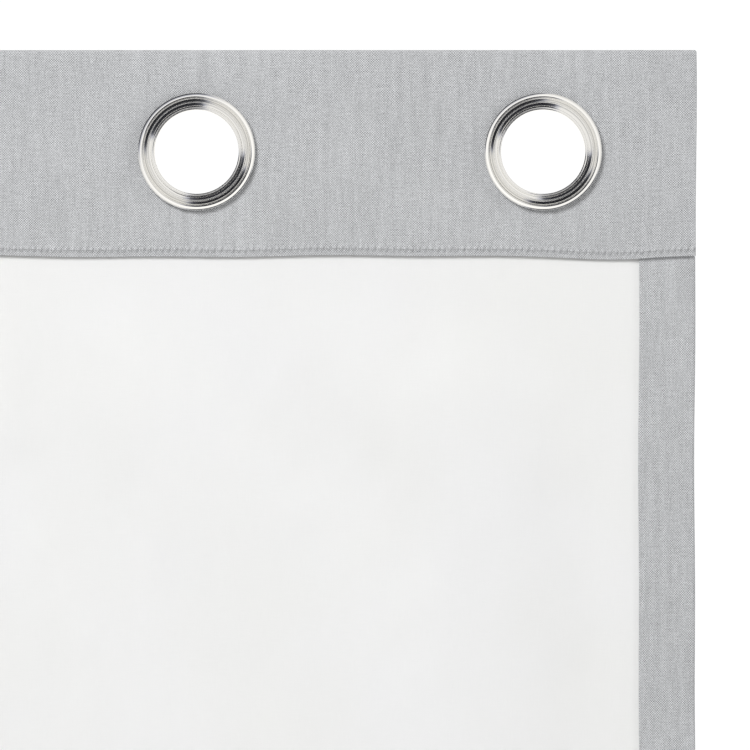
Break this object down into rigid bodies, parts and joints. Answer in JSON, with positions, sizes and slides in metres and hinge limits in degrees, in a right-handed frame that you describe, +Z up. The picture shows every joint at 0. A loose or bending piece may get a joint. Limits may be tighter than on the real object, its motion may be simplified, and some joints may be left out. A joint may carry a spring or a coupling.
{
  "type": "grommet curtain panel",
  "caption": "Lined fabric curtain panel with a stiffened grommet header; it hangs from a rod and folds into even pleats.",
  "frame": {"origin": "centre of the eye of the end grommet, on the middle plane of the header", "axes": "+Z up along the length of the panel, +X along its width and the rod towards the near side edge, +Y into the room, out of the decorative side"},
  "size_m": [1.3208, 0.0113, 2.1336],
  "materials": {
    "face_fabric": "matte",
    "lining": "matte",
    "stiffener": "matte",
    "grommet": "polished",
    "label": "satin"
  },
  "bodies": {
    "crest": {"face_fabric_crest": "face_fabric", "lining_crest": "lining", "header_stiffener_crest": "stiffener"},
    "pleat_1": {"face_fabric_1": "face_fabric", "lining_1": "lining", "header_stiffener_1": "stiffener", "grommet_front_1": "grommet", "grommet_washer_1": "grommet", "care_label": "label"},
    "pleat_2": {"face_fabric_2": "face_fabric", "lining_2": "lining", "header_stiffener_2": "stiffener", "grommet_front_2": "grommet", "grommet_washer_2": "grommet"},
    "pleat_3": {"face_fabric_3": "face_fabric", "lining_3": "lining", "header_stiffener_3": "stiffener", "grommet_front_3": "grommet", "grommet_washer_3": "grommet"},
    "pleat_4": {"face_fabric_4": "face_fabric", "lining_4": "lining", "header_stiffener_4": "stiffener", "grommet_front_4": "grommet", "grommet_washer_4": "grommet"},
    "pleat_5": {"face_fabric_5": "face_fabric", "lining_5": "lining", "header_stiffener_5": "stiffener", "grommet_front_5": "grommet", "grommet_washer_5": "grommet"},
    "pleat_6": {"face_fabric_6": "face_fabric", "lining_6": "lining", "header_stiffener_6": "stiffener", "grommet_front_6": "grommet", "grommet_washer_6": "grommet"},
    "pleat_7": {"face_fabric_7": "face_fabric", "lining_7": "lining", "header_stiffener_7": "stiffener", "grommet_front_7": "grommet", "grommet_washer_7": "grommet"},
    "pleat_8": {"face_fabric_8": "face_fabric", "lining_8": "lining", "header_stiffener_8": "stiffener", "grommet_front_8": "grommet", "grommet_washer_8": "grommet"}
  },
  "joints": [
    {"name": "pleat_fold", "type": "hinge", "parent": "crest", "child": "pleat_2", "pos_m": [-0.09031, 0.00205, 0], "axis": [0, 0, -1], "range_deg": [0, 78]},
    {"name": "end_fold", "type": "hinge", "parent": "crest", "child": "pleat_1", "pos_m": [-0.07731, 0.00205, 0], "axis": [0, 0, 1], "range_deg": [0, 78]},
    {"name": "fold_2_3", "type": "hinge", "parent": "pleat_2", "child": "pleat_3", "pos_m": [-0.25144, -0.00205, 0], "axis": [0, 0, 1], "range_deg": [0, 156]},
    {"name": "fold_3_4", "type": "hinge", "parent": "pleat_3", "child": "pleat_4", "pos_m": [-0.41907, 0.00205, 0], "axis": [0, 0, -1], "range_deg": [0, 156]},
    {"name": "fold_4_5", "type": "hinge", "parent": "pleat_4", "child": "pleat_5", "pos_m": [-0.5867, -0.00205, 0], "axis": [0, 0, 1], "range_deg": [0, 156]},
    {"name": "fold_5_6", "type": "hinge", "parent": "pleat_5", "child": "pleat_6", "pos_m": [-0.75433, 0.00205, 0], "axis": [0, 0, -1], "range_deg": [0, 156]},
    {"name": "fold_6_7", "type": "hinge", "parent": "pleat_6", "child": "pleat_7", "pos_m": [-0.92196, -0.00205, 0], "axis": [0, 0, 1], "range_deg": [0, 156]},
    {"name": "fold_7_8", "type": "hinge", "parent": "pleat_7", "child": "pleat_8", "pos_m": [-1.08959, 0.00205, 0], "axis": [0, 0, -1], "range_deg": [0, 156]}
  ],
  "couplings": [
    {"joint": "end_fold", "follows": "pleat_fold", "ratio": 1},
    {"joint": "fold_2_3", "follows": "pleat_fold", "ratio": 2},
    {"joint": "fold_3_4", "follows": "pleat_fold", "ratio": 2},
    {"joint": "fold_4_5", "follows": "pleat_fold", "ratio": 2},
    {"joint": "fold_5_6", "follows": "pleat_fold", "ratio": 2},
    {"joint": "fold_6_7", "follows": "pleat_fold", "ratio": 2},
    {"joint": "fold_7_8", "follows": "pleat_fold", "ratio": 2}
  ]
}
